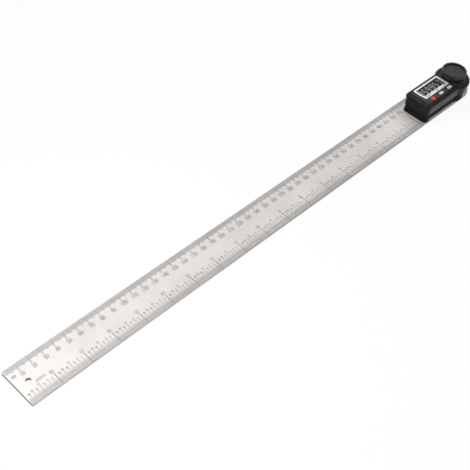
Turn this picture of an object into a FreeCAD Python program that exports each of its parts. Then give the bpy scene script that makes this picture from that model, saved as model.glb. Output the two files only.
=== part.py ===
import FreeCAD, Part
import math
import os

# Digital angle finder: two steel rules on one pivot, with a reading head and a clamping knob.
# Millimetres. The origin is on the pivot axis, in the underside of the lower arm. The folded arms
# run towards -X, and the display reads upright from -Y.

vec = FreeCAD.Vector
tiny = 1e-6

# ---- clearances
press_gap = 0.02          # radial, between pieces pressed or screwed together
running_gap = 0.04        # radial, between a shaft and its bush
slide_gap = 0.1           # between the battery tray and its rails
seat_gap = 0.15           # around inlays and trim
plate_gap = 0.6           # around the face plate
free_gap = 0.3            # around moving buttons and turning pieces
plate_clear = 0.2         # under the roof and beside the tray
air_gap = 0.4             # between the encoder's discs, and above the bush

# ---- arms
free_length = 489.3       # pivot to the square free end
blade_width = 34.5
blade_thick = 1.1
near_edge = 12.55         # pivot to the near long edge
end_reach = 26.95         # pivot to the tip of the rounded end
tip_corner = 0.6
hang_inset = 9.5          # free end to the hanging hole
hang_radius = 2.0

# ---- pivot
slip_thick = 0.2
slip_radius = 11.5
hub_radius = 9.0
journal_radius = 5.0
neck_radius = 4.0
neck_rise = 0.1           # of the hub's neck above the rotor
bush_wall = 1.4
bush_flange = 1.6         # radial width of the flange
bush_flange_thick = 0.8
top_bush_wall = 1.05
top_bush_drop = 3.0       # below the inside of the roof
tube_wall = 1.6           # around the top bush
bolt_radius = 2.5
bolt_head_radius = 4.6
bolt_rise = 4.5           # above the roof
bolt_flat = 2.0           # axis to the flat that keys the clamp washer
bolt_flat_run = 1.0       # of the flat, past the washer each way
spanner_radius = 0.5
spanner_offset = 2.6
spanner_depth = 0.8

# ---- knob
knob_radius = 11.4
tier_step = 1.1           # the skirt's radius is this much less
skirt_height = 3.4
knob_head_height = 3.5
skirt_wall = 1.8
rim_width = 1.95
cap_sink = 1.1            # of the cap below the rim
cap_thick = 0.6
flute_count = 30
flute_radius = 0.75
flute_depth = 0.35
knob_round = 0.4
insert_radius = 4.5
washer_thick = 0.8

# ---- case
floor_thick = 2.0
wall = 1.8
base_height = 8.9         # upper blade to the seam
round_radius = 15.0       # of the base's wall around the pivot
front_corner = 2.4
blend_radius = 5.0        # where the sides meet the round end
shell_lip = 0.5           # overhang of the top shell over the base
rim_height = 4.0
side_lip = 0.75           # overhang of the rim along the sides and front
round_lip = 1.0           # overhang of the rim around the pivot
edge_round = 3.0
roof_thick = 1.4
plate_thick = 1.0
plate_inset = 3.05        # rim edge to the recess for the face plate
plate_corner = 0.8
waist_depth = 1.4
waist_wall = 1.5
waist_front = 5.8         # front face to the foot of the waist
waist_front_run = 8.0
waist_back = 12.5         # pivot to the other foot
waist_back_run = 20.5

# ---- display and buttons
window_length = 31.4
window_width = 10.1
border_front = 1.65
border_back = 2.4
border_far = 1.85
border_near = 2.9
frame_side = 3.45         # rim edge to the frame
frame_rise = 0.35
frame_corner = 0.8
frame_bevel = 0.25
front_margin = 6.35       # frame to the base's front face
knob_margin = 0.6         # frame to the knob's edge
lens_thick = 0.8
lens_lap = 0.7
glass_lap_x = 0.8
glass_lap_y = 1.25
glass_step = 0.8
glass_thick = 2.0
strip_width = 1.4
strip_inset = 0.3
button_row = 3.6          # frame to the button centres
button_pitch = 12.6
button_front = 5.55       # front end of the frame to the round button's centre
near_margin = 4.85        # button centres to the base's wall
round_button_radius = 2.5
round_button_rise = 1.0
oval_length = 6.0
oval_width = 3.0
oval_rise = 0.6
button_round = 0.3
button_tab = 0.7          # beyond each end of a button
button_tab_thick = 0.8
button_travel = 0.5
stem_radius = 1.2
dome_radius = 2.0
dome_top_radius = 1.2
dome_height = 0.25
dome_clear = 0.05         # dome to the pressed button

# ---- boards
board_thick = 1.0
under_roof = 2.2          # board to the inside of the roof
board_edge = 0.25
board_corner = 1.0
post_radius = 1.6
post_front = 2.4          # inside of the front wall to the front post
post_back_x = 9.4
post_back_y = 7.5
screw_radius = 0.8
screw_head_radius = 1.5
screw_head_height = 1.0
screw_end_gap = 0.2
rotor_thick = 1.0
rotor_margin = 1.2        # rotor to the wall around it
stator_hole = 4.3
header_x = 10.3
header_length = 8.0
header_width = 2.0
chip_x = 16.4
chip_size = 5.6
chip_height = 1.2
crystal_length = 4.0
crystal_width = 1.7
crystal_height = 1.0
chip_spacing = 0.9
capacitor_count = 3
capacitor_length = 1.0
capacitor_height = 0.7

# ---- battery
cell_radius = 10.0
cell_height = 3.2
cell_cap_radius = 8.8
cell_cap_height = 0.3
cell_gap = 0.15
tray_seat_rise = 0.7      # rails above the seam
tray_floor = 0.6
tray_side = 1.65
tray_front = 1.7
tray_reach = 8.5          # cell centre to the inner end of the tray
tray_window = 6.5
tray_end_clear = 0.6
rail_width = 1.4
groove_radius = 0.8
groove_length = 14.0
groove_sink = 0.5
contact_space = 1.2       # behind the cell, for the contact
contact_height = 0.5      # over the cell, for the contact
contact_width = 4.0
contact_thick = 0.2
leaf_length = 6.0

# ---- case screws
boss_radius = 2.3
boss_inset = 1.8          # inside of the front wall to the front bosses
boss_side = 4.55          # case wall to the bosses
case_screw_radius = 1.0
case_screw_head = 1.9
case_screw_head_height = 0.9
case_screw_reach = 3.0    # into the top shell
slot_length = 2.2
slot_width = 0.45
slot_depth = 0.4

# ---- heights
lower_top = blade_thick
upper_bottom = lower_top + slip_thick
upper_top = upper_bottom + blade_thick
floor_top = upper_top + floor_thick
seam = upper_top + base_height
tray_seat = seam + tray_seat_rise
tray_bottom = tray_seat + slide_gap
cell_bottom = tray_bottom + tray_floor
cell_top = cell_bottom + cell_height
board_bottom = cell_top + contact_height
board_top = board_bottom + board_thick
roof_inside = board_top + under_roof
plate_seat = roof_inside + roof_thick
roof = plate_seat + plate_thick
rim_bottom = roof - rim_height
rotor_bottom = seam - air_gap - rotor_thick
rotor_top = rotor_bottom + rotor_thick
bush_top = rotor_bottom - air_gap
stator_top = seam + board_thick
glass_top = plate_seat - plate_clear
glass_bottom = glass_top - glass_thick
washer_top = roof + washer_thick
knob_bottom = roof + free_gap
tier = knob_bottom + skirt_height
knob_top = tier + knob_head_height
cap_seat = knob_top - cap_sink - cap_thick

# ---- radii
blade_mid = blade_width / 2 - near_edge
end_centre = end_reach - blade_width / 2
bush_inner = journal_radius + running_gap
bush_outer = bush_inner + bush_wall
top_bush_inner = bolt_radius + running_gap
top_bush_outer = top_bush_inner + top_bush_wall
tube_radius = top_bush_outer + tube_wall
skirt_radius = knob_radius - tier_step
washer_recess = skirt_radius - skirt_wall
clamp_radius = washer_recess - free_gap
base_wall = waist_depth + waist_wall
round_inside = round_radius - wall
round_base_inside = round_radius - base_wall
rotor_radius = round_base_inside - rotor_margin
stator_radius = round_inside - plate_clear
pocket_radius = cell_radius + cell_gap

# ---- plan of the head
frame_length = border_front + window_length + border_back
frame_width = border_near + window_width + border_far
frame_x1 = -(knob_radius + knob_margin)
frame_x0 = frame_x1 - frame_length
face_width = frame_side - side_lip - shell_lip + frame_width + button_row + near_margin
bay_width = wall + contact_space + 2 * pocket_radius + tray_front
case_half = max(face_width, bay_width) / 2
case_length = front_margin - frame_x0
front_inside = -(case_length - wall)
shell_half = case_half + shell_lip
shell_radius = round_radius + shell_lip
shell_length = case_length + shell_lip
shell_corner = front_corner + shell_lip
rim_half = shell_half + side_lip
rim_radius = shell_radius + round_lip
rim_length = shell_length + side_lip
rim_corner = shell_corner + side_lip
frame_y1 = rim_half - frame_side
frame_y0 = frame_y1 - frame_width
window_x0 = frame_x0 + border_front
window_x1 = window_x0 + window_length
window_y0 = frame_y0 + border_near
window_y1 = window_y0 + window_width
button_y = frame_y0 - button_row
round_button_x = frame_x0 + button_front
hold_button_x = round_button_x + button_pitch
zero_button_x = hold_button_x + button_pitch
front_boss_x = front_inside + boss_inset
tray_x0 = front_boss_x + boss_radius + tray_end_clear
cell_x = tray_x0 + tray_side + pocket_radius
tray_x1 = cell_x + pocket_radius + tray_side
back_boss_x = tray_x1 + plate_clear + boss_radius
boss_y = case_half - boss_side
cell_y = case_half - tray_front - pocket_radius
boss_places = [(x, side * boss_y) for x in (front_boss_x, back_boss_x) for side in (-1, 1)]
post_places = [(front_inside + post_front, 0.0), (-post_back_x, -post_back_y), (-post_back_x, post_back_y)]


# ---- shapes that the pieces share

def disc(radius, low, high, x=0.0, y=0.0):
    return Part.makeCylinder(radius, high - low, vec(x, y, low))


def ring(outer, inner, low, high, x=0.0, y=0.0):
    return disc(outer, low, high, x, y).cut(disc(inner, low, high, x, y))


def cone(low_radius, high_radius, low, high, x=0.0, y=0.0):
    return Part.makeCone(low_radius, high_radius, high - low, vec(x, y, low))


def block(x0, x1, y0, y1, low, high):
    return Part.makeBox(x1 - x0, y1 - y0, high - low, vec(x0, y0, low))


def joined(shapes):
    return shapes[0].multiFuse(shapes[1:]).removeSplitter()


def upright_edges(shape):
    return [edge for edge in shape.Edges
            if math.dist(edge.Vertexes[0].Point[:2], edge.Vertexes[-1].Point[:2]) < tiny
            and len(edge.Vertexes) == 2]


def edges_at(shape, height):
    return [edge for edge in shape.Edges if all(abs(end.Z - height) < tiny for end in edge.Vertexes)]


def rounded(x0, x1, y0, y1, low, high, radius):
    body = block(x0, x1, y0, y1, low, high)
    return body.makeFillet(radius, upright_edges(body))


def keyhole(half, radius, length, corner, low, high):
    """The head in plan: a block with rounded front corners that blends into a disc at the pivot."""
    front = block(-length, 0.0, -half, half, low, high)
    corners = [edge for edge in upright_edges(front) if edge.CenterOfMass.x < -length / 2]
    body = joined([front.makeFillet(corner, corners), disc(radius, low, high)])
    if radius <= half:
        return body
    meeting = -math.sqrt(radius ** 2 - half ** 2)
    notches = [edge for edge in upright_edges(body)
               if abs(edge.CenterOfMass.x - meeting) < tiny and abs(abs(edge.CenterOfMass.y) - half) < tiny]
    return body.makeFillet(blend_radius, notches)


def oval(length, width, low, high, x, y, grow=0.0):
    """An upright pill shape along X, enlarged all round by grow."""
    radius = width / 2 + grow
    reach = (length - width) / 2
    bar = block(x - reach, x + reach, y - radius, y + radius, low, high)
    return joined([bar, disc(radius, low, high, x - reach, y), disc(radius, low, high, x + reach, y)])


def frame_block(low, high, grow=0.0, corner=frame_corner):
    return rounded(frame_x0 - grow, frame_x1 + grow, frame_y0 - grow, frame_y1 + grow, low, high, corner)


def window_block(low, high, grow_x=0.0, grow_y=0.0):
    return block(window_x0 - grow_x, window_x1 + grow_x, window_y0 - grow_y, window_y1 + grow_y, low, high)


def button_holes(low, high):
    return [disc(round_button_radius + free_gap, low, high, round_button_x, button_y),
            oval(oval_length, oval_width, low, high, hold_button_x, button_y, free_gap),
            oval(oval_length, oval_width, low, high, zero_button_x, button_y, free_gap)]


# ---- arms and pivot

def blade(low):
    """A rule with a square free end, a rounded pivot end and a hanging hole."""
    high = low + blade_thick
    far_edge = blade_width - near_edge
    bar = block(-free_length, end_centre, -near_edge, far_edge, low, high)
    tips = [edge for edge in upright_edges(bar) if edge.CenterOfMass.x < 0]
    bar = bar.makeFillet(tip_corner, tips)
    end = disc(blade_width / 2, low, high, end_centre, blade_mid)
    return joined([bar, end]).cut(disc(hang_radius, low, high, hang_inset - free_length, blade_mid))


def lower_blade():
    return blade(0.0).cut(disc(hub_radius + press_gap, 0.0, lower_top))


def upper_blade():
    holes = [disc(bush_outer + press_gap, upper_bottom, upper_top)]
    holes += [case_screw(x, y, press_gap) for x, y in boss_places]
    return blade(upper_bottom).cut(holes)


def slip_washer():
    return ring(slip_radius, journal_radius + free_gap, lower_top, upper_bottom)


def bolt_blank(grow=0.0):
    head_height = bolt_head_radius - bolt_radius
    head = cone(bolt_head_radius + grow, bolt_radius + grow, 0.0, head_height)
    return joined([head, disc(bolt_radius + grow, 0.0, roof + bolt_rise)])


def pivot_hub():
    steps = [disc(hub_radius, 0.0, lower_top), disc(journal_radius, 0.0, rotor_bottom),
             disc(neck_radius, 0.0, rotor_top + neck_rise)]
    return joined(steps).cut(bolt_blank(press_gap))


def pivot_bolt():
    flat = block(-bolt_radius, bolt_radius, -2 * bolt_radius, -bolt_flat,
                 roof - bolt_flat_run, washer_top + bolt_flat_run)
    holes = [disc(spanner_radius, 0.0, spanner_depth, side * spanner_offset) for side in (-1, 1)]
    return bolt_blank().cut([flat] + holes)


def pivot_bush():
    sleeve = ring(bush_outer, bush_inner, upper_bottom, bush_top)
    flange = ring(bush_outer + bush_flange, bush_inner, floor_top, floor_top + bush_flange_thick)
    return joined([sleeve, flange])


def top_bush():
    return ring(top_bush_outer, top_bush_inner, roof_inside - top_bush_drop, roof)


def encoder_rotor():
    return ring(rotor_radius, neck_radius + press_gap, rotor_bottom, rotor_top)


def encoder_stator():
    return ring(stator_radius, stator_hole, seam, stator_top)


# ---- knob

def clamp_washer():
    bore = disc(bolt_radius + running_gap, roof, washer_top)
    key = block(-bolt_radius, bolt_radius, -2 * bolt_radius, -(bolt_flat + running_gap), roof, washer_top)
    return disc(clamp_radius, roof, washer_top).cut(bore.cut(key))


def flutes():
    reach = knob_radius + flute_radius - flute_depth
    turns = [2 * math.pi * index / flute_count for index in range(flute_count)]
    return [disc(flute_radius, tier, knob_top, reach * math.cos(turn), reach * math.sin(turn))
            for turn in turns]


def knob_body():
    head = disc(knob_radius, tier, knob_top)
    head = head.makeFillet(knob_round, edges_at(head, knob_top) + edges_at(head, tier)).cut(flutes())
    skirt = disc(skirt_radius, knob_bottom, tier + knob_round)
    hollows = [disc(washer_recess, knob_bottom, washer_top),
               disc(insert_radius + press_gap, knob_bottom, knob_top),
               disc(knob_radius - rim_width, cap_seat, knob_top)]
    return joined([head, skirt]).cut(hollows)


def knob_insert():
    return ring(insert_radius, bolt_radius + running_gap, washer_top, cap_seat)


def knob_cap():
    return disc(knob_radius - rim_width - seat_gap, cap_seat, cap_seat + cap_thick)


# ---- case

def arch(x_foot, x_top):
    """A quarter-round curve in the XZ plane from a foot on the blade up to the seam."""
    share = 1 - math.sqrt(0.5)
    middle = vec(x_foot + (x_top - x_foot) * share, 0.0, seam - base_height * share)
    return Part.Arc(vec(x_foot, 0.0, upper_top), middle, vec(x_top, 0.0, seam)).toShape()


def waist():
    """The shallow hollow along both sides of the base, for a finger and thumb."""
    foot_front = waist_front - case_length
    top_front = foot_front + waist_front_run
    top_back = waist_back - waist_back_run
    outline = [arch(foot_front, top_front),
               Part.makeLine(vec(top_front, 0.0, seam), vec(top_back, 0.0, seam)),
               arch(waist_back, top_back),
               Part.makeLine(vec(waist_back, 0.0, upper_top), vec(foot_front, 0.0, upper_top))]
    reach = 2 * case_half
    side = Part.Face(Part.Wire(Part.__sortEdges__(outline)))
    side.translate(vec(0.0, -reach, 0.0))
    core = keyhole(case_half - waist_depth, round_radius - waist_depth, case_length,
                   front_corner, upper_top, seam)
    return side.extrude(vec(0.0, 2 * reach, 0.0)).cut(core)


def base_case():
    outer = keyhole(case_half, round_radius, case_length, front_corner, upper_top, seam).cut(waist())
    inside = keyhole(case_half - base_wall, round_base_inside, case_length - wall,
                     front_corner - wall, floor_top, seam)
    rail_reach = case_half - base_wall
    rails = [block(x, x + rail_width, -rail_reach, rail_reach, upper_top, tray_seat)
             for x in (tray_x0, tray_x1 - rail_width)]
    bosses = [disc(boss_radius, upper_top, seam, x, y) for x, y in boss_places]
    holes = [disc(case_screw_radius + press_gap, upper_top, seam, x, y) for x, y in boss_places]
    holes.append(disc(bush_outer + press_gap, upper_top, floor_top))
    return joined([outer.cut(inside)] + rails + bosses).cut(holes)


def top_boss(x, y):
    """A boss under the roof for a case screw, webbed to the side wall."""
    side = math.copysign(1.0, y)
    edges = sorted((y, side * (case_half - wall / 2)))
    web = block(x - boss_radius, x + boss_radius, edges[0], edges[1], seam, board_bottom)
    return joined([web, disc(boss_radius, seam, board_bottom, x, y)])


def top_shell():
    walls = keyhole(shell_half, shell_radius, shell_length, shell_corner, seam, roof)
    rim = keyhole(rim_half, rim_radius, rim_length, rim_corner, rim_bottom, roof)
    rim = rim.makeFillet(edge_round, edges_at(rim, roof))
    inside = keyhole(case_half - wall, round_inside, case_length - wall, front_corner - wall,
                     seam, roof_inside)
    recess = keyhole(rim_half - plate_inset, rim_radius - plate_inset, rim_length - plate_inset,
                     plate_corner + plate_gap, plate_seat, roof)
    shell = walls.common(disc(shell_length * 2, seam, rim_bottom))
    shell = joined([shell, rim]).cut(inside).cut(recess)
    added = [top_boss(x, y) for x, y in boss_places]
    added += [disc(post_radius, board_top, plate_seat, x, y) for x, y in post_places]
    added.append(disc(tube_radius, roof_inside - top_bush_drop, roof))
    added.append(disc(clamp_radius, roof_inside, roof))
    cuts = [disc(case_screw_radius + press_gap, seam, seam + case_screw_reach + free_gap, x, y)
            for x, y in boss_places]
    cuts += [disc(screw_radius + press_gap, board_top, roof_inside, x, y) for x, y in post_places]
    cuts += button_holes(roof_inside, roof)
    cuts.append(window_block(roof_inside, roof, glass_lap_x + free_gap, glass_lap_y + free_gap))
    cuts.append(disc(top_bush_outer + press_gap, roof_inside - top_bush_drop, roof))
    cuts.append(block(tray_x0 - seat_gap, tray_x1 + seat_gap, case_half - wall, 2 * case_half,
                      tray_seat, cell_top + slide_gap))
    return joined([shell] + added).cut(cuts)


def face_plate():
    inset = plate_inset + plate_gap
    plate = keyhole(rim_half - inset, rim_radius - inset, rim_length - inset, plate_corner, plate_seat, roof)
    holes = button_holes(plate_seat, roof) + [disc(clamp_radius + seat_gap, plate_seat, roof)]
    return plate.cut(holes + [frame_block(plate_seat, roof, seat_gap)])


def case_screw(x, y, grow=0.0):
    head_top = upper_bottom + case_screw_head_height
    head = cone(case_screw_head + grow, case_screw_radius + grow, upper_bottom, head_top, x, y)
    return joined([head, disc(case_screw_radius + grow, upper_bottom, seam + case_screw_reach, x, y)])


def case_screws():
    screws = []
    for x, y in boss_places:
        across = block(x - slot_length / 2, x + slot_length / 2, y - slot_width / 2, y + slot_width / 2,
                       upper_bottom, upper_bottom + slot_depth)
        along = block(x - slot_width / 2, x + slot_width / 2, y - slot_length / 2, y + slot_length / 2,
                      upper_bottom, upper_bottom + slot_depth)
        screws.append(case_screw(x, y).cut([across, along]))
    return Part.makeCompound(screws)


# ---- display

def display_frame():
    outer = frame_block(plate_seat, roof + frame_rise)
    outer = outer.makeChamfer(frame_bevel, edges_at(outer, roof + frame_rise))
    rabbet = window_block(plate_seat, plate_seat + lens_thick + press_gap, lens_lap + seat_gap,
                          lens_lap + seat_gap)
    return outer.cut([window_block(plate_seat, roof + frame_rise), rabbet])


def display_window():
    return window_block(plate_seat, plate_seat + lens_thick, lens_lap, lens_lap)


def display_glass():
    back = window_block(glass_bottom, glass_top - glass_thick / 2, glass_lap_x, glass_lap_y)
    front = window_block(glass_bottom, glass_top, glass_lap_x, glass_lap_y - glass_step)
    return joined([back, front])


def contact_strips():
    near = window_y0 - glass_lap_y + strip_inset
    far = window_y1 + glass_lap_y - strip_inset - strip_width
    return Part.makeCompound([block(window_x0, window_x1, y, y + strip_width, board_top, glass_bottom)
                              for y in (near, far)])


# ---- buttons

def button(cap, length, width, x):
    """A cap with a tab at each end under the roof, and a stem over its switch."""
    low, high = tab_heights()
    tabs = oval(length + 2 * button_tab, width, low, high, x, button_y)
    stem_bottom = board_top + dome_height + dome_clear + button_travel
    return joined([cap, tabs, disc(stem_radius, stem_bottom, roof_inside, x, button_y)])


def tab_heights():
    top = roof_inside - plate_clear
    return top - button_tab_thick, top


def power_button():
    cap = disc(round_button_radius, tab_heights()[0], roof + round_button_rise, round_button_x, button_y)
    cap = cap.makeFillet(round_button_rise, edges_at(cap, roof + round_button_rise))
    return button(cap, 2 * round_button_radius, 2 * round_button_radius, round_button_x)


def oval_button(x):
    cap = oval(oval_length, oval_width, tab_heights()[0], roof + oval_rise, x, button_y)
    cap = cap.makeFillet(button_round, edges_at(cap, roof + oval_rise))
    return button(cap, oval_length, oval_width, x)


def hold_button():
    return oval_button(hold_button_x)


def zero_button():
    return oval_button(zero_button_x)


def switch_domes():
    dome_top = board_top + dome_height
    return Part.makeCompound([cone(dome_radius, dome_top_radius, board_top, dome_top, x, button_y)
                              for x in (round_button_x, hold_button_x, zero_button_x)])


# ---- boards

def main_board():
    half = case_half - wall - board_edge
    board_x0 = front_inside + board_edge
    board_x1 = -(tube_radius + seat_gap)
    board = rounded(board_x0, board_x1, -half, half, board_bottom, board_top, board_corner)
    reach = boss_radius + board_edge
    notches = [block(x - reach, x + reach, *sorted((side * (boss_y - reach), side * 2 * half)),
                     board_bottom, board_top)
               for x in (front_boss_x, back_boss_x) for side in (-1, 1)]
    holes = [disc(screw_radius + press_gap, board_bottom, board_top, x, y) for x, y in post_places]
    return board.cut(notches + holes)


def board_screws():
    end = roof_inside - screw_end_gap
    return Part.makeCompound([joined([disc(screw_radius, board_bottom, end, x, y),
                                      disc(screw_head_radius, board_bottom - screw_head_height,
                                           board_bottom, x, y)])
                              for x, y in post_places])


def board_link():
    return block(-header_x - header_width / 2, -header_x + header_width / 2,
                 -header_length / 2, header_length / 2, stator_top, board_bottom)


def board_components():
    """A chip, a crystal beside it, and a row of capacitors on its other side."""
    half = chip_size / 2
    crystal_y = half + chip_spacing
    row_y = -half - chip_spacing - capacitor_length
    chip = block(-chip_x - half, -chip_x + half, -half, half, board_bottom - chip_height, board_bottom)
    crystal = block(-chip_x - crystal_length / 2, -chip_x + crystal_length / 2,
                    crystal_y, crystal_y + crystal_width, board_bottom - crystal_height, board_bottom)
    pitch = 2 * capacitor_length
    starts = [-chip_x - half + index * pitch for index in range(capacitor_count)]
    capacitors = [block(x, x + capacitor_length, row_y, row_y + capacitor_length,
                        board_bottom - capacitor_height, board_bottom) for x in starts]
    return Part.makeCompound([chip, crystal] + capacitors)


# ---- battery

def battery_tray():
    body = block(tray_x0, tray_x1, cell_y - tray_reach, shell_half, tray_bottom, cell_top)
    pocket = disc(pocket_radius, cell_bottom, cell_top, cell_x, cell_y)
    window = disc(tray_window, tray_bottom, cell_bottom, cell_x, cell_y)
    groove = Part.makeCylinder(groove_radius, groove_length,
                               vec(cell_x - groove_length / 2, shell_half + groove_radius - groove_sink,
                                   (tray_bottom + cell_top) / 2), vec(1, 0, 0))
    return body.cut([pocket, window, groove])


def coin_cell():
    can = disc(cell_radius, cell_bottom, cell_top - cell_cap_height, cell_x, cell_y)
    return joined([can, disc(cell_cap_radius, cell_bottom, cell_top, cell_x, cell_y)])


def battery_contact_plus():
    face = cell_y - cell_radius - free_gap
    return block(cell_x - contact_width / 2, cell_x + contact_width / 2, face - contact_thick, face,
                 cell_bottom, board_bottom)


def battery_contact_minus():
    """A leaf under the board that bears on the cell, with a foot at each end."""
    half = leaf_length / 2
    low = cell_top + slide_gap
    x0, x1 = cell_x - contact_width / 2, cell_x + contact_width / 2
    leaf = block(x0, x1, cell_y - half, cell_y + half, low, low + contact_thick)
    feet = [block(x0, x1, cell_y + start, cell_y + start + contact_thick, low, board_bottom)
            for start in (-half, half - contact_thick)]
    return joined([leaf] + feet)


pieces = [lower_blade, upper_blade, slip_washer, pivot_hub, pivot_bolt, pivot_bush, top_bush,
          encoder_rotor, encoder_stator, clamp_washer, knob_body, knob_insert, knob_cap,
          base_case, top_shell, face_plate, case_screws, display_frame, display_window, display_glass,
          contact_strips, power_button, hold_button, zero_button, switch_domes, main_board,
          board_screws, board_link, board_components, battery_tray, coin_cell,
          battery_contact_plus, battery_contact_minus]

os.makedirs("parts", exist_ok=True)
for piece in pieces:
    piece().exportStep("parts/" + piece.__name__ + ".step")
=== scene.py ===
import math

import bpy
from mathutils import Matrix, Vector


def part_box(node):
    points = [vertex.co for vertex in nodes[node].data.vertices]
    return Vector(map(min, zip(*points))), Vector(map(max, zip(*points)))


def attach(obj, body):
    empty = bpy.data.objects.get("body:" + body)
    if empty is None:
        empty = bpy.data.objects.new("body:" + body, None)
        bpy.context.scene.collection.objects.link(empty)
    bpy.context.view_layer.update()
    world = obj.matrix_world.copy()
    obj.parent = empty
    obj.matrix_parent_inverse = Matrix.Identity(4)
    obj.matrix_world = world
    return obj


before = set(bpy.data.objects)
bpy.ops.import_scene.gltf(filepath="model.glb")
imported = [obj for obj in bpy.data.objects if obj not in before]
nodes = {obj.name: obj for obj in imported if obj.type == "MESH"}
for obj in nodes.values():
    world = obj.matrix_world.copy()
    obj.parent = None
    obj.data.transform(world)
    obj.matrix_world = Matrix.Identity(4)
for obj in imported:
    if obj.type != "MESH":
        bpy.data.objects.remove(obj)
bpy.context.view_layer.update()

# The looks of the angle finder: a finish for every CAD piece, the printed scales on both blades, the
# figures on the display, the labels on its frame, the marks on the coin cell, a white floor, soft light
# and the camera. Objects and lights are placed in metres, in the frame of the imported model; sizes of
# prints and of textures are given in millimetres and turned into metres with MM.

MM = 0.001


# ---------------------------------------------------------------- node trees

class Tree:
    """The node tree of a material or a world, emptied and built up anew."""

    def __init__(self, owner):
        owner.use_nodes = True
        self.nodes, self.links = owner.node_tree.nodes, owner.node_tree.links
        self.nodes.clear()

    def feed(self, socket, source):
        """Links an output to a socket, or sets the socket to a plain number, colour or direction."""
        if hasattr(source, "is_output"):
            self.links.new(source, socket)
        elif socket.type == "RGBA":
            socket.default_value = (*source, 1.0)
        else:
            socket.default_value = source

    def add(self, kind, *inputs, **named):
        """A shader node, fed in the order of its sockets or by their names, with _ for a space."""
        node = self.nodes.new("ShaderNode" + kind)
        for socket, source in zip(node.inputs, inputs):
            self.feed(socket, source)
        for name, source in named.items():
            self.feed(node.inputs[name.replace("_", " ")], source)
        return node

    def maths(self, operation, first, second=0.0):
        """The result of one operation; ABSOLUTE takes no second value."""
        node = self.add("Math", first, second)
        node.operation = operation
        return node.outputs[0]

    def times(self, value, number):
        return self.maths("MULTIPLY", value, number)

    def dot(self, first, second):
        """The cosine between two directions."""
        node = self.add("VectorMath", first, second)
        node.operation = "DOT_PRODUCT"
        return node.outputs["Value"]


BEVEL_SAMPLES = 6
FLAT_COSINE, EDGE_COSINE = 0.999, 0.9        # between the softened normal and the true one


class Finish(Tree):
    """A material around one Principled shader, with the object's own coordinates at hand."""

    def __init__(self, name, **sockets):
        self.material = bpy.data.materials.new(name)
        super().__init__(self.material)
        self.shader = self.add("BsdfPrincipled", **sockets)
        self.add("OutputMaterial", Surface=self.shader.outputs["BSDF"])
        self.place = self.add("TexCoord").outputs["Object"]

    def noise(self, size_mm, detail=3.0, stretch=(1.0, 1.0, 1.0)):
        """Noise whose features are about size_mm across, longer along an axis with a large stretch."""
        mapping = self.add("Mapping", Vector=self.place, Scale=tuple(1.0 / s for s in stretch))
        texture = self.add("TexNoise", Vector=mapping.outputs[0], Scale=1.0 / (size_mm * MM), Detail=detail)
        return texture.outputs["Fac"]

    def waves(self, scale, distortion=0.0):
        """A wave texture; its crests are 0.314 / scale metres apart."""
        return self.add("TexWave", Vector=self.place, Scale=scale, Distortion=distortion)

    def spread(self, value, low, high, start=0.35, end=0.65):
        """Maps a value that runs from start to end onto low to high."""
        node = self.add("MapRange", Value=value, From_Min=start, From_Max=end, To_Min=low, To_Max=high)
        return node.outputs[0]

    def mask(self, value, start=0.35, end=0.65):
        """A mask that is 0 where the value is at start and 1 where it is at end."""
        return self.spread(value, 0.0, 1.0, start, end)

    def blend(self, factor, first, second):
        """The first colour where the factor is 0, the second where it is 1."""
        node = self.nodes.new("ShaderNodeMix")
        node.data_type = "RGBA"
        for index, source in ((0, factor), (6, first), (7, second)):
            self.feed(node.inputs[index], source)
        return node.outputs[2]

    def edges(self, radius_mm):
        """(normal softened at the edges, mask that is 1 on an edge and 0 on a flat)"""
        bevel = self.add("Bevel", Radius=radius_mm * MM)
        bevel.samples = BEVEL_SAMPLES
        softened = bevel.outputs[0]
        turn = self.dot(softened, self.add("NewGeometry").outputs["Normal"])
        return softened, self.mask(turn, FLAT_COSINE, EDGE_COSINE)

    def along(self, axis):
        """How closely the surface faces along an axis of the object, from 0 to 1."""
        return self.maths("ABSOLUTE", self.dot(self.add("TexCoord").outputs["Normal"], axis))

    def relief(self, height, depth_mm, normal=None):
        """Bumps depth_mm deep from a height, on top of another normal."""
        bump = self.add("Bump", Height=height, Distance=depth_mm * MM)
        if normal is not None:
            self.feed(bump.inputs["Normal"], normal)
        return bump.outputs[0]

    def finish(self, colour=None, roughness=None, normal=None):
        """Connects what was worked out to the shader and hands over the material."""
        for name, source in (("Base Color", colour), ("Roughness", roughness), ("Normal", normal)):
            if source is not None:
                self.feed(self.shader.inputs[name], source)
        return self.material


def shaded(colour, share):
    """The colour times a share, which is above 1 for a brighter one."""
    return tuple(share * c for c in colour)


# ---------------------------------------------------------------- finishes

X_AXIS, Z_AXIS = (1.0, 0.0, 0.0), (0.0, 0.0, 1.0)

# Brushed steel
GRAIN_SHARE, STAIN_SHARE = 0.45, 0.55        # of the scratches and of the stains in the tone
# Painted highlight along the edges of the steel: its colour and its share.
STEEL_EDGE_HIGHLIGHT, EDGE_HIGHLIGHT_SHARE = (0.9, 0.9, 0.89), 0.35
# Painted shade on the round end past the pivot, where the case shades the steel: its two tones, its share
# and the half width of its fade.
ROUND_END_SHADE_DARK, ROUND_END_SHADE_LIGHT = (0.2, 0.195, 0.185), (0.28, 0.275, 0.265)
ROUND_END_SHADE_COVER, ROUND_END_SHADE_FADE_MM = 0.8, 6.0
SIDE_FADE = (-0.39, -0.15)                   # X between which the sides get painted shade, darker towards the pivot, in metres
SIDE_SHADE_SHARE = 0.6                             # painted shade: share of the dark steel's colour on sides near the pivot
OCCLUDED_SHADE_SHARE, HIDDEN_WITHIN_MM = 0.08, 5.0   # painted shade on sides with something close in front of them
END_SHADE_SHARE = 0.16                             # painted shade on the ends, which face along X
SIDE_ROUGHER = 0.15
SHADE_SAMPLES = 8


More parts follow.
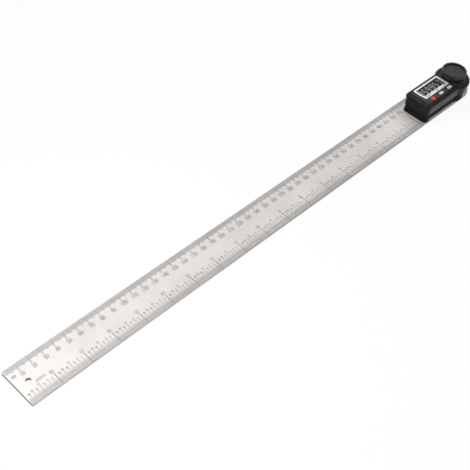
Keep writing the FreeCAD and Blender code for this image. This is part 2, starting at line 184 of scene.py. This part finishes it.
def brushed_steel(name, light, dark, stretch, rough=(0.24, 0.36), round_end_shade_mm=None, **sockets):
    """Steel with fine parallel scratches along the stretched axis, faint stains, a painted highlight on its
    edges and duller, darker sides with painted shade; past the given mm along X, painted shade of the case
    on the round end."""
    f = Finish(name, **{"Metallic": 1.0, **sockets})
    grain = f.noise(size_mm=0.16, detail=2.0, stretch=stretch)
    stains = f.noise(size_mm=22.0, detail=4.0)
    normal, edge = f.edges(radius_mm=0.12)
    tone = f.maths("ADD", f.times(grain, GRAIN_SHARE), f.times(stains, STAIN_SHARE))
    colour = f.blend(f.mask(tone, 0.38, 0.62), dark, light)
    # painted highlight: the edges are blended towards a lighter colour
    colour = f.blend(f.times(edge, EDGE_HIGHLIGHT_SHARE), colour, STEEL_EDGE_HIGHLIGHT)
    at_x = f.add("SeparateXYZ", Vector=f.place).outputs["X"]
    # painted shade: the steel past the pivot, on the round end, is darkened as if in the case's shade
    if round_end_shade_mm is not None:
        round_end_shade = f.blend(f.mask(stains), ROUND_END_SHADE_DARK, ROUND_END_SHADE_LIGHT)
        start, end = (round_end_shade_mm - ROUND_END_SHADE_FADE_MM) * MM, (round_end_shade_mm + ROUND_END_SHADE_FADE_MM) * MM
        colour = f.blend(f.spread(at_x, 0.0, ROUND_END_SHADE_COVER, start, end), colour, round_end_shade)

    # Sides: the darker steel colour with painted shade, darker towards the pivot, much darker where
    # something close in front hides them (ambient occlusion), and darker again on the ends.
    side = f.mask(f.along(Z_AXIS), 0.7, 0.4)
    end_on = f.mask(f.along(X_AXIS), 0.8, 0.95)
    shade = f.add("AmbientOcclusion", Distance=HIDDEN_WITHIN_MM * MM)
    shade.samples = SHADE_SAMPLES
    in_the_open = f.mask(shade.outputs["AO"], 0.2, 0.45)
    side_shade = f.blend(f.mask(at_x, *SIDE_FADE), dark, shaded(dark, SIDE_SHADE_SHARE))
    side_shade = f.blend(in_the_open, shaded(dark, OCCLUDED_SHADE_SHARE), side_shade)
    side_shade = f.blend(end_on, side_shade, shaded(dark, END_SHADE_SHARE))
    colour = f.blend(side, colour, side_shade)

    roughness = f.maths("ADD", f.spread(grain, *rough), f.spread(stains, -0.03, 0.05))
    roughness = f.maths("ADD", roughness, f.times(side, SIDE_ROUGHER))
    if "Anisotropic" in sockets:
        tangent = f.add("Tangent")
        tangent.direction_type, tangent.axis = "RADIAL", "X"
        f.feed(f.shader.inputs["Tangent"], tangent.outputs[0])
    return f.finish(colour, roughness, f.relief(grain, depth_mm=0.0035, normal=normal))


RUBBED_SMOOTHER = 0.08


def moulded_plastic(name, dark, light, rough=(0.42, 0.56), texture_mm=0.28, depth_mm=0.02, wear_and_sheen=0.25,
                    edge_highlight=(0.10, 0.10, 0.10), mottle_mm=7.0, **sockets):
    """Moulded plastic with a fine spark-eroded texture, faint mottling, edges rubbed smoother and a painted
    highlight on the edges.
    """
    f = Finish(name, **sockets)
    texture = f.noise(texture_mm)
    mottle = f.noise(mottle_mm)
    normal, edge = f.edges(radius_mm=0.25)
    colour = f.blend(f.mask(mottle), dark, light)
    # painted highlight: the edges are blended towards a lighter colour
    colour = f.blend(f.times(edge, wear_and_sheen), colour, edge_highlight)
    roughness = f.maths("SUBTRACT", f.spread(mottle, *rough), f.times(edge, RUBBED_SMOOTHER))
    return f.finish(colour, roughness, f.relief(texture, depth_mm, normal))


def turned_metal(name, dark, light):
    """Metal turned on a lathe: fine rings around the upright axis, and a painted highlight on the edges."""
    f = Finish(name, Metallic=1.0)
    rings = f.waves(scale=900.0, distortion=1.2)
    rings.wave_type, rings.rings_direction = "RINGS", "Z"
    normal, edge = f.edges(radius_mm=0.15)
    patina = f.noise(size_mm=4.0, detail=4.0)
    colour = f.blend(f.mask(patina), dark, light)
    # painted highlight: the edges are brighter
    colour = f.blend(f.times(edge, 0.4), colour, shaded(light, 1.2))
    roughness = f.spread(patina, 0.2, 0.34)
    return f.finish(colour, roughness, f.relief(rings.outputs["Fac"], depth_mm=0.003, normal=normal))


def solder_mask(name):
    """A printed circuit board: green varnish over paler copper tracks."""
    f = Finish(name, Specular_IOR_Level=0.6)
    cells = f.add("TexVoronoi", Vector=f.place, Scale=420.0)
    cells.distance = "MANHATTAN"
    tracks = f.mask(cells.outputs["Distance"], 0.30, 0.36)
    colour = f.blend(tracks, (0.010, 0.075, 0.030), (0.025, 0.16, 0.06))
    return f.finish(colour, f.spread(f.noise(size_mm=1.2), 0.22, 0.4), f.relief(tracks, depth_mm=0.03))


def rubber(name):
    """Layered rubber of the contact strips: thin conducting layers between paler ones."""
    f = Finish(name)
    layers = f.waves(scale=1500.0)
    layers.bands_direction = "X"
    bands = layers.outputs["Fac"]
    colour = f.blend(bands, (0.02, 0.02, 0.021), (0.12, 0.12, 0.12))
    return f.finish(colour, f.spread(f.noise(size_mm=0.5), 0.6, 0.8), f.relief(bands, depth_mm=0.01))


def printed_ink(name, tone):
    """A dark etched or printed mark, slightly broken up where it is worn."""
    f = Finish(name, Specular_IOR_Level=0.25)
    wear_and_sheen = f.noise(size_mm=0.15, detail=2.0)
    colour = f.blend(f.mask(wear_and_sheen), shaded(tone, 0.7), tone)
    return f.finish(colour, f.spread(wear_and_sheen, 0.5, 0.7), f.relief(wear_and_sheen, depth_mm=0.004))


def display_ground(name):
    """The dark ground of the liquid-crystal glass, with a faint greenish mottle."""
    f = Finish(name, Specular_IOR_Level=0.4)
    mottle = f.noise(size_mm=5.0, detail=2.0)
    colour = f.blend(f.mask(mottle), (0.012, 0.019, 0.014), (0.020, 0.029, 0.022))
    roughness = f.spread(f.noise(size_mm=0.6), 0.28, 0.4)
    return f.finish(colour, roughness, f.relief(f.noise(size_mm=0.2), depth_mm=0.002))


def display_light(name):
    """The pale greenish segments of the liquid-crystal glass."""
    f = Finish(name, Specular_IOR_Level=0.3)
    mottle = f.noise(size_mm=1.5, detail=2.0)
    colour = f.blend(f.mask(mottle), (0.36, 0.41, 0.36), (0.45, 0.50, 0.44))
    return f.finish(colour, f.spread(mottle, 0.4, 0.55), f.relief(mottle, depth_mm=0.002))


def clear_lens(name):
    """Clear, faintly green plastic with a little dust and a slightly uneven face."""
    f = Finish(name, Base_Color=(0.02, 0.024, 0.022), Alpha=0.12, IOR=1.49)
    dust = f.noise(size_mm=2.5, detail=5.0)
    roughness = f.spread(dust, 0.03, 0.1, start=0.45, end=0.75)
    return f.finish(None, roughness, f.relief(f.noise(size_mm=6.0), depth_mm=0.002))


def silver_bezel(name):
    """Silver lacquer on the moulded display frame: fine metallic flake under a satin coat, with a painted
    highlight on the edges.
    """
    f = Finish(name, Metallic=0.35, Coat_Weight=0.25, Coat_Roughness=0.25)
    flake = f.noise(size_mm=0.12, detail=2.0)
    cloud = f.noise(size_mm=6.0)
    normal, edge = f.edges(radius_mm=0.15)
    colour = f.blend(f.mask(flake), (0.76, 0.76, 0.76), (0.87, 0.87, 0.86))
    # painted highlight: the edges are lighter
    colour = f.blend(f.times(edge, 0.5), colour, (0.92, 0.92, 0.91))
    return f.finish(colour, f.spread(cloud, 0.3, 0.42), f.relief(flake, depth_mm=0.003, normal=normal))


blade_steel = brushed_steel("blade_steel", light=(0.734, 0.711, 0.7), dark=(0.631, 0.609, 0.599),
                            stretch=(160.0, 1.0, 1.0), rough=(0.42, 0.54), round_end_shade_mm=8.0,
                            Anisotropic=0.7, Metallic=0.25)
plated_steel = brushed_steel("plated_steel", light=(0.70, 0.69, 0.66), dark=(0.58, 0.57, 0.55),
                             stretch=(8.0, 1.0, 8.0))
turned_steel = turned_metal("turned_steel", (0.42, 0.42, 0.43), (0.60, 0.60, 0.60))
turned_brass = turned_metal("turned_brass", (0.48, 0.33, 0.12), (0.72, 0.53, 0.24))
case_black = moulded_plastic("case_black", (0.0085, 0.0085, 0.009), (0.0125, 0.0125, 0.013),
                             rough=(0.26, 0.32), depth_mm=0.006, Specular_IOR_Level=0.15)
base_black = moulded_plastic("base_black", (0.009, 0.009, 0.0095), (0.013, 0.013, 0.0135),
                             rough=(0.6, 0.75), texture_mm=0.35, depth_mm=0.06, wear_and_sheen=0.15,
                             Specular_IOR_Level=0.08)
plate_black = moulded_plastic("plate_black", (0.014, 0.014, 0.0145), (0.021, 0.021, 0.0215),
                              rough=(0.46, 0.58), texture_mm=0.4, depth_mm=0.03)
knob_black = moulded_plastic("knob_black", (0.012, 0.012, 0.0125), (0.018, 0.018, 0.0185),
                             rough=(0.38, 0.5), wear_and_sheen=0.3)
cap_black = moulded_plastic("cap_black", (0.005, 0.005, 0.0055), (0.030, 0.030, 0.0305),
                            rough=(0.42, 0.58), texture_mm=0.55, depth_mm=0.06, mottle_mm=2.4)
part_black = moulded_plastic("part_black", (0.01, 0.01, 0.0105), (0.02, 0.02, 0.02), rough=(0.4, 0.6))
button_grey = moulded_plastic("button_grey", (0.46, 0.46, 0.455), (0.53, 0.53, 0.525), rough=(0.36, 0.48),
                              texture_mm=0.2, depth_mm=0.008, edge_highlight=(0.62, 0.62, 0.61))
button_red = moulded_plastic("button_red", (0.55, 0.028, 0.022), (0.64, 0.04, 0.03), rough=(0.3, 0.42),
                             texture_mm=0.2, depth_mm=0.008, edge_highlight=(0.72, 0.09, 0.07))
washer_white = moulded_plastic("washer_white", (0.74, 0.74, 0.70), (0.82, 0.82, 0.78), depth_mm=0.006,
                               edge_highlight=(0.86, 0.86, 0.83))
board_green = solder_mask("board_green")
strip_rubber = rubber("strip_rubber")
scale_ink = printed_ink("scale_ink", (0.035, 0.034, 0.033))
label_ink = printed_ink("label_ink", (0.06, 0.06, 0.06))
glass_dark = display_ground("glass_dark")
glass_light = display_light("glass_light")
lens_clear = clear_lens("lens_clear")
frame_silver = silver_bezel("frame_silver")

FINISHES = {
    blade_steel: ["lower_blade", "upper_blade"],
    turned_steel: ["pivot_hub", "pivot_bolt", "clamp_washer", "case_screws", "board_screws"],
    turned_brass: ["pivot_bush", "top_bush", "knob_insert"],
    plated_steel: ["coin_cell", "switch_domes", "battery_contact_plus", "battery_contact_minus"],
    base_black: ["base_case"],
    case_black: ["top_shell", "battery_tray"],
    plate_black: ["face_plate"],
    knob_black: ["knob_body"],
    cap_black: ["knob_cap"],
    part_black: ["board_link", "board_components"],
    frame_silver: ["display_frame"],
    lens_clear: ["display_window"],
    glass_dark: ["display_glass"],
    strip_rubber: ["contact_strips"],
    button_red: ["power_button"],
    button_grey: ["hold_button", "zero_button"],
    washer_white: ["slip_washer"],
    board_green: ["encoder_rotor", "encoder_stator", "main_board"],
}
for material, names in FINISHES.items():
    for name in names:
        nodes[name].data.materials.clear()
        nodes[name].data.materials.append(material)


# ---------------------------------------------------------------- thin printed shapes

def flat_text(text, bold):
    """(x, y, whether on top) for every point of a text of font size 1, and its faces."""
    curve = bpy.data.curves.new("lettering", "FONT")
    curve.body, curve.size, curve.extrude, curve.offset = text, 1.0, 0.5, bold
    curve.resolution_u = 3
    curve.align_x = "CENTER"
    holder = bpy.data.objects.new("lettering", curve)
    mesh = bpy.data.meshes.new_from_object(holder)
    points = [(v.co.x, v.co.y, v.co.z > 0.0) for v in mesh.vertices]
    faces = [list(p.vertices) for p in mesh.polygons]
    bpy.data.objects.remove(holder)
    bpy.data.curves.remove(curve)
    bpy.data.meshes.remove(mesh)
    return points, faces


zero_heights = [y for x, y, top in flat_text("0", bold=0.0)[0]]
CAPITAL = max(zero_heights) - min(zero_heights)
LETTERING = {}               # every text is made once


def lettering(text, bold):
    """Points and faces of a text, centred and one capital height tall."""
    if (text, bold) not in LETTERING:
        points, faces = flat_text(text, bold)
        points = [(x / CAPITAL, (y - CAPITAL / 2) / CAPITAL, top) for x, y, top in points]
        LETTERING[text, bold] = points, faces
    return LETTERING[text, bold]


class Print:
    """Collects flat outlines between two levels and makes them one thin closed mesh."""

    def __init__(self, low, high):
        self.low, self.high = low, high
        self.points, self.faces = [], []

    def outline(self, corners):
        """A prism over a convex outline that runs anticlockwise."""
        start, count = len(self.points), len(corners)
        self.points += [(x, y, level) for level in (self.low, self.high) for x, y in corners]
        self.faces.append([start + i for i in reversed(range(count))])
        self.faces.append([start + count + i for i in range(count)])
        for i in range(count):
            j = (i + 1) % count
            self.faces.append([start + i, start + j, start + count + j, start + count + i])

    def bar(self, x0, x1, y0, y1):
        self.outline([(x0, y0), (x1, y0), (x1, y1), (x0, y1)])

    def words(self, text, height, x, y, bold=0.0, narrow=0.78, turned=False):
        """Centred text of a capital height, turned by half a circle if asked."""
        points, faces = lettering(text, bold)
        sign = -1.0 if turned else 1.0
        start = len(self.points)
        self.points += [(x + sign * narrow * px * height, y + sign * py * height,
                         self.high if top else self.low) for px, py, top in points]
        self.faces += [[start + i for i in face] for face in faces]

    def piece(self, name, body, finish):
        """Makes the mesh, which rides on a body."""
        mesh = bpy.data.meshes.new(name)
        mesh.from_pydata([(x * MM, y * MM, z * MM) for x, y, z in self.points], [], self.faces)
        mesh.update()
        mesh.materials.append(finish)
        made = bpy.data.objects.new(name, mesh)
        bpy.context.scene.collection.objects.link(made)
        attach(made, body)


def middle(low, high):
    """The middle of a box seen from above, in millimetres."""
    return (low.x + high.x) / 2 / MM, (low.y + high.y) / 2 / MM


# ---------------------------------------------------------------- scales on the blades

# Places and sizes in millimetres. A row of ticks says: every so many steps, length, line width.
FREE_END = -489.3            # the square end, where the millimetre scale starts
FAR_EDGE, NEAR_EDGE = 21.95, -12.55
EDGE_INSET = 0.02            # ticks stop this far inside the edge
INK_SINK, INK_RISE = 0.01, 0.012
BOLD, SMALL_BOLD = -0.006, 0.01              # outwards shift of a letter's outline, in font sizes

MM_TICKS = ((10, 7.3, 0.45), (5, 5.9, 0.4), (1, 4.55, 0.36))
MM_LABEL_Y, MM_LABEL_HEIGHT, MM_LABEL_NARROW = 12.0, 3.9, 0.71
MM_LABEL_ROOM = 3.5          # a label stands at least this far from the last x
MM_MARK_X, MM_MARK_Y, MM_MARK_HEIGHT, MM_MARK_NARROW = FREE_END + 3.9, 13.9, 3.6, 0.45

INCH, INCHES, PARTS = 25.4, 19, 32
INCH_ZERO = FREE_END + INCHES * INCH         # near the pivot; the inches count towards the free end
INCH_TICKS = ((32, 9.95, 0.5), (16, 8.95, 0.32), (8, 7.45, 0.3), (4, 6.45, 0.3), (2, 5.55, 0.28),
              (1, 3.95, 0.27))
INCH_LABEL_Y, INCH_LABEL_HEIGHT, INCH_LABEL_ROOM = -0.3, 3.3, 3.0
SMALL_LABEL_EVERY, SMALL_LABEL_HEIGHT, SMALL_LABEL_GAP, SMALL_LABEL_ROOM = 4, 1.7, 0.45, 1.5
PARTS_MARK_X, PARTS_MARK_Y, PARTS_MARK_HEIGHT = FREE_END + 17.0, 0.75, 2.4

CASE_GAP, WASHER_GAP = 0.4, 1.0              # the scales stop this far before the case and the washer
BESIDE_CASE = 24.0           # the millimetre ticks run on this far along the far side of the case


def tick(step, rows):
    """Length and half width of a graduation."""
    return next((length, line / 2) for every, length, line in rows if step % every == 0)


def metric_scale(body, top, last_x, last_tick, tag):
    """Millimetres along the far edge; the labels stop at last_x and the ticks at last_tick."""
    metric = Print(top - INK_SINK, top + INK_RISE)
    for step in range(1, int(last_tick - FREE_END) + 1):
        x = FREE_END + step
        length, half = tick(step, MM_TICKS)
        metric.bar(x - half, x + half, FAR_EDGE - length, FAR_EDGE - EDGE_INSET)
        if step % 10 == 0 and x + MM_LABEL_ROOM < last_x:
            metric.words(str(step), MM_LABEL_HEIGHT, x, MM_LABEL_Y, BOLD, MM_LABEL_NARROW)
    metric.words("mm", MM_MARK_HEIGHT, MM_MARK_X, MM_MARK_Y, SMALL_BOLD, MM_MARK_NARROW)
    metric.piece("metric_scale_" + tag, body, scale_ink)


def inch_scale(body, top, last_x, tag):
    """Inches in 32 parts along the near edge, read from the far side, as far as last_x."""
    inches = Print(top - INK_SINK, top + INK_RISE)
    for step in range(1, INCHES * PARTS):
        x = INCH_ZERO - step * INCH / PARTS
        if x > last_x:
            continue
        length, half = tick(step, INCH_TICKS)
        inches.bar(x - half, x + half, NEAR_EDGE + EDGE_INSET, NEAR_EDGE + length)
        part = step % PARTS
        if part == 0 and x + INCH_LABEL_ROOM < last_x:
            inches.words(str(step // PARTS), INCH_LABEL_HEIGHT, x, INCH_LABEL_Y, BOLD, turned=True)
        elif part % SMALL_LABEL_EVERY == 0 and x + SMALL_LABEL_ROOM < last_x:
            y = NEAR_EDGE + length + SMALL_LABEL_GAP + SMALL_LABEL_HEIGHT / 2
            inches.words(str(part), SMALL_LABEL_HEIGHT, x, y, SMALL_BOLD, turned=True)
    inches.words("32NDS", PARTS_MARK_HEIGHT, PARTS_MARK_X, PARTS_MARK_Y, BOLD, turned=True)
    inches.piece("inch_scale_" + tag, body, scale_ink)


def scales(body, top, last_x, last_tick, tag):
    """Both scales on one blade."""
    metric_scale(body, top, last_x, last_tick, tag)
    inch_scale(body, top, last_x, tag)


upper_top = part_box("upper_blade")[1].z / MM
lower_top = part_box("lower_blade")[1].z / MM
case_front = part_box("base_case")[0].x / MM
washer_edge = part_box("slip_washer")[0].x / MM
scales("head", upper_top, case_front - CASE_GAP, case_front + BESIDE_CASE, "upper")
scales("lower_arm", lower_top, washer_edge - WASHER_GAP, washer_edge - WASHER_GAP, "lower")


# ---------------------------------------------------------------- figures on the display

SEGMENTS = {"3": "abcdg", "5": "acdfg", "7": "abc", "9": "abcdfg"}
DIGIT_WIDTH, DIGIT_HEIGHT, DIGIT_PITCH = 3.9, 8.2, 5.4
SEGMENT_WIDTH, SEGMENT_GAP = 1.05, 0.08
SLANT = 0.1                  # sideways for each millimetre up
DOT = 0.8
READING = "359.957"
FIGURE_SINK, FIGURE_RISE = 0.02, 0.03


def segment_outlines():
    """The seven segments as pointed bars, by letter, around the digit's lower left corner."""
    half, gap = SEGMENT_WIDTH / 2, SEGMENT_GAP
    left, right = half, DIGIT_WIDTH - half
    bottom, centre, top = half, DIGIT_HEIGHT / 2, DIGIT_HEIGHT - half

    def level(y):
        x0, x1 = left + gap, right - gap
        return [(x0, y), (x0 + half, y - half), (x1 - half, y - half), (x1, y), (x1 - half, y + half),
                (x0 + half, y + half)]

    def upright(x, y0, y1):
        y0, y1 = y0 + gap, y1 - gap
        return [(x, y0), (x + half, y0 + half), (x + half, y1 - half), (x, y1), (x - half, y1 - half),
                (x - half, y0 + half)]

    return {"a": level(top), "g": level(centre), "d": level(bottom),
            "f": upright(left, centre, top), "b": upright(right, centre, top),
            "e": upright(left, bottom, centre), "c": upright(right, bottom, centre)}


def reading():
    """The slanted figures in the middle of the window."""
    glass_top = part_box("display_glass")[1].z / MM
    window_x, window_y = middle(*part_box("display_window"))
    digits = len(READING.replace(".", ""))
    total = DIGIT_PITCH * (digits - 1) + DIGIT_WIDTH
    x = window_x - total / 2 - SLANT * DIGIT_HEIGHT / 2
    y = window_y - DIGIT_HEIGHT / 2
    outlines = segment_outlines()
    figures = Print(glass_top - FIGURE_SINK, glass_top + FIGURE_RISE)
    for mark in READING:
        if mark == ".":
            dot = x - (DIGIT_PITCH - DIGIT_WIDTH) / 2
            figures.bar(dot - DOT / 2, dot + DOT / 2, y, y + DOT)
            continue
        for letter in SEGMENTS[mark]:
            figures.outline([(x + px + SLANT * py, y + py) for px, py in outlines[letter]])
        x += DIGIT_PITCH
    figures.piece("display_figures", "head", glass_light)


reading()


# ---------------------------------------------------------------- labels and marks

FRAME_LABELS = (("ON/OFF", "power_button"), ("HOLD", "hold_button"), ("ZERO", "zero_button"))
FRAME_LABEL_HEIGHT, FRAME_LABEL_BOLD = 1.5, 0.015
FRAME_LABEL_UP = 0.35        # above the middle between the frame's near edge and the window's
FRAME_INK_SINK, FRAME_INK_RISE = 0.01, 0.015


def frame_labels():
    """A label above each button, on the near strip of the display frame."""
    low_corner, high_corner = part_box("display_frame")
    window_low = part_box("display_window")[0]
    y = (low_corner.y / MM + window_low.y / MM) / 2 + FRAME_LABEL_UP
    top = high_corner.z / MM
    labels = Print(top - FRAME_INK_SINK, top + FRAME_INK_RISE)
    for text, node in FRAME_LABELS:
        x = middle(*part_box(node))[0]
        labels.words(text, FRAME_LABEL_HEIGHT, x, y, FRAME_LABEL_BOLD)
    labels.piece("frame_labels", "head", label_ink)


CELL_PLUS_HEIGHT, CELL_TEXT_HEIGHT, CELL_MARK_SHIFT = 4.0, 2.2, 4.0
CELL_INK_SINK, CELL_INK_RISE = 0.02, 0.012


def cell_mark():
    """The plus sign and the voltage stamped in the coin cell's upper face."""
    low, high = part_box("coin_cell")
    (x, y), top = middle(low, high), high.z / MM
    mark = Print(top - CELL_INK_SINK, top + CELL_INK_RISE)
    mark.words("+", CELL_PLUS_HEIGHT, x - CELL_MARK_SHIFT, y + CELL_MARK_SHIFT)
    mark.words("3V", CELL_TEXT_HEIGHT, x + CELL_MARK_SHIFT, y + CELL_MARK_SHIFT)
    mark.piece("cell_marks", "battery_drawer", label_ink)


frame_labels()
cell_mark()


# ---------------------------------------------------------------- floor, light and camera

FLOOR_RINGS = ((7.0, -0.0002), (7.8, 0.12), (8.4, 0.45), (8.7, 1.3))      # radius and height, in metres
FLOOR_SIDES = 48
FLOOR_WHITE, GLOW_WHITE = (0.96, 0.96, 0.96), (1.0, 1.0, 1.0)
FLOOR_GLOW = 0.88            # share of the glow in what the camera, glossy and transmitted rays see


def floor_white():
    """Matt white that casts no light of its own, but looks brighter to the rays that see it."""
    material = bpy.data.materials.new("floor_white")
    tree = Tree(material)
    paper = tree.add("BsdfDiffuse", Color=FLOOR_WHITE)
    glow = tree.add("Emission", Color=GLOW_WHITE)
    rays = tree.add("LightPath").outputs
    seen = rays["Is Camera Ray"]
    for ray in ("Is Glossy Ray", "Is Transmission Ray"):
        seen = tree.maths("MAXIMUM", seen, rays[ray])
    mix = tree.add("MixShader", tree.times(seen, FLOOR_GLOW), paper.outputs[0], glow.outputs[0])
    tree.add("OutputMaterial", Surface=mix.outputs[0])
    return material


def floor():
    """A wide white table that turns up into a low wall at its rim."""
    mesh = bpy.data.meshes.new("floor")
    turns = [2 * math.pi * i / FLOOR_SIDES for i in range(FLOOR_SIDES)]
    points = [(radius * math.cos(turn), radius * math.sin(turn), level)
              for radius, level in FLOOR_RINGS for turn in turns]
    faces = [list(range(FLOOR_SIDES))]
    for start in range(0, FLOOR_SIDES * (len(FLOOR_RINGS) - 1), FLOOR_SIDES):
        for i in range(FLOOR_SIDES):
            j = (i + 1) % FLOOR_SIDES
            faces.append([start + i, start + FLOOR_SIDES + i, start + FLOOR_SIDES + j, start + j])
    mesh.from_pydata(points, [], faces)
    made = bpy.data.objects.new("floor", mesh)
    bpy.context.scene.collection.objects.link(made)
    mesh.materials.append(floor_white())


SKY_LEVEL, SKY_GLOW, SKY_POWER = 0.12, 1.12, 1.28
SKY_DIRECTION = (0.05, 0.5, 0.8646)
SKY_COLOUR = (1.0, 0.992, 0.98)


def sky():
    """Soft light from all round, brighter high up on the far side."""
    world = bpy.data.worlds.new("studio")
    bpy.context.scene.world = world
    tree = Tree(world)
    level = tree.dot(tree.add("TexCoord").outputs["Generated"], SKY_DIRECTION)
    for operation, number in (("MAXIMUM", 0.0), ("POWER", SKY_POWER), ("MULTIPLY", SKY_GLOW),
                              ("ADD", SKY_LEVEL)):
        level = tree.maths(operation, level, number)
    background = tree.add("Background", Color=SKY_COLOUR, Strength=level)
    tree.add("OutputWorld", Surface=background.outputs[0])


BEAM_SOFTNESS = 0.04         # radius of the source of a beam, in metres


def shine(name, data, place, target, power):
    """Puts a light at its place and turns it to its target."""
    data.energy = power
    made = bpy.data.objects.new(name, data)
    bpy.context.scene.collection.objects.link(made)
    made.location = place
    made.rotation_euler = (Vector(target) - Vector(place)).to_track_quat("-Z", "Y").to_euler()


def lamp(name, place, target, size, power):
    """A round lamp, size metres across."""
    data = bpy.data.lights.new(name, "AREA")
    data.shape, data.size = "DISK", size
    shine(name, data, place, target, power)


def beam(name, place, target, angle, power):
    """A soft spot of light, angle radians wide."""
    data = bpy.data.lights.new(name, "SPOT")
    data.spot_size, data.spot_blend, data.shadow_soft_size = angle, 1.0, BEAM_SOFTNESS
    shine(name, data, place, target, power)


# The key lights the whole from the near right. The others are small and soft: the end lamp brightens the
# free end, the fill the rim of the case and the foot the steel in front of the case.
floor()
sky()
lamp("key", (0.35, -0.75, 1.2), (-0.1, 0.0, 0.0), size=1.1, power=5.2)
lamp("end", (-0.455, 0.03, 0.26), (-0.485, 0.0, 0.0), size=0.16, power=0.32)
beam("fill", (-0.227, 0.105, 0.206), (-0.056, 0.002, 0.004), angle=0.19, power=1.8)
beam("foot", (-0.12, -0.01, 0.42), (-0.0585, -0.003, 0.0), angle=0.09, power=5.0)

# The camera's place, turn and focal length, worked out from the graduations and the object's outline.
CAMERA_PLACE = (-0.6519303, -0.3083171, 0.5244317)
CAMERA_TURN = (0.74678641, -0.07115207, -0.79208996)
FOCAL_PIXELS, IMAGE_PIXELS, SENSOR_MM = 907.92, 470.0, 36.0
NEAREST, FARTHEST = 0.01, 200.0

camera = bpy.data.cameras.new("camera")
camera.sensor_width = SENSOR_MM
camera.lens = FOCAL_PIXELS / IMAGE_PIXELS * SENSOR_MM
camera.clip_start, camera.clip_end = NEAREST, FARTHEST
view = bpy.data.objects.new("camera", camera)
bpy.context.scene.collection.objects.link(view)
view.location = CAMERA_PLACE
view.rotation_euler = CAMERA_TURN
bpy.context.scene.camera = view
bpy.context.scene.view_settings.view_transform = "Standard"
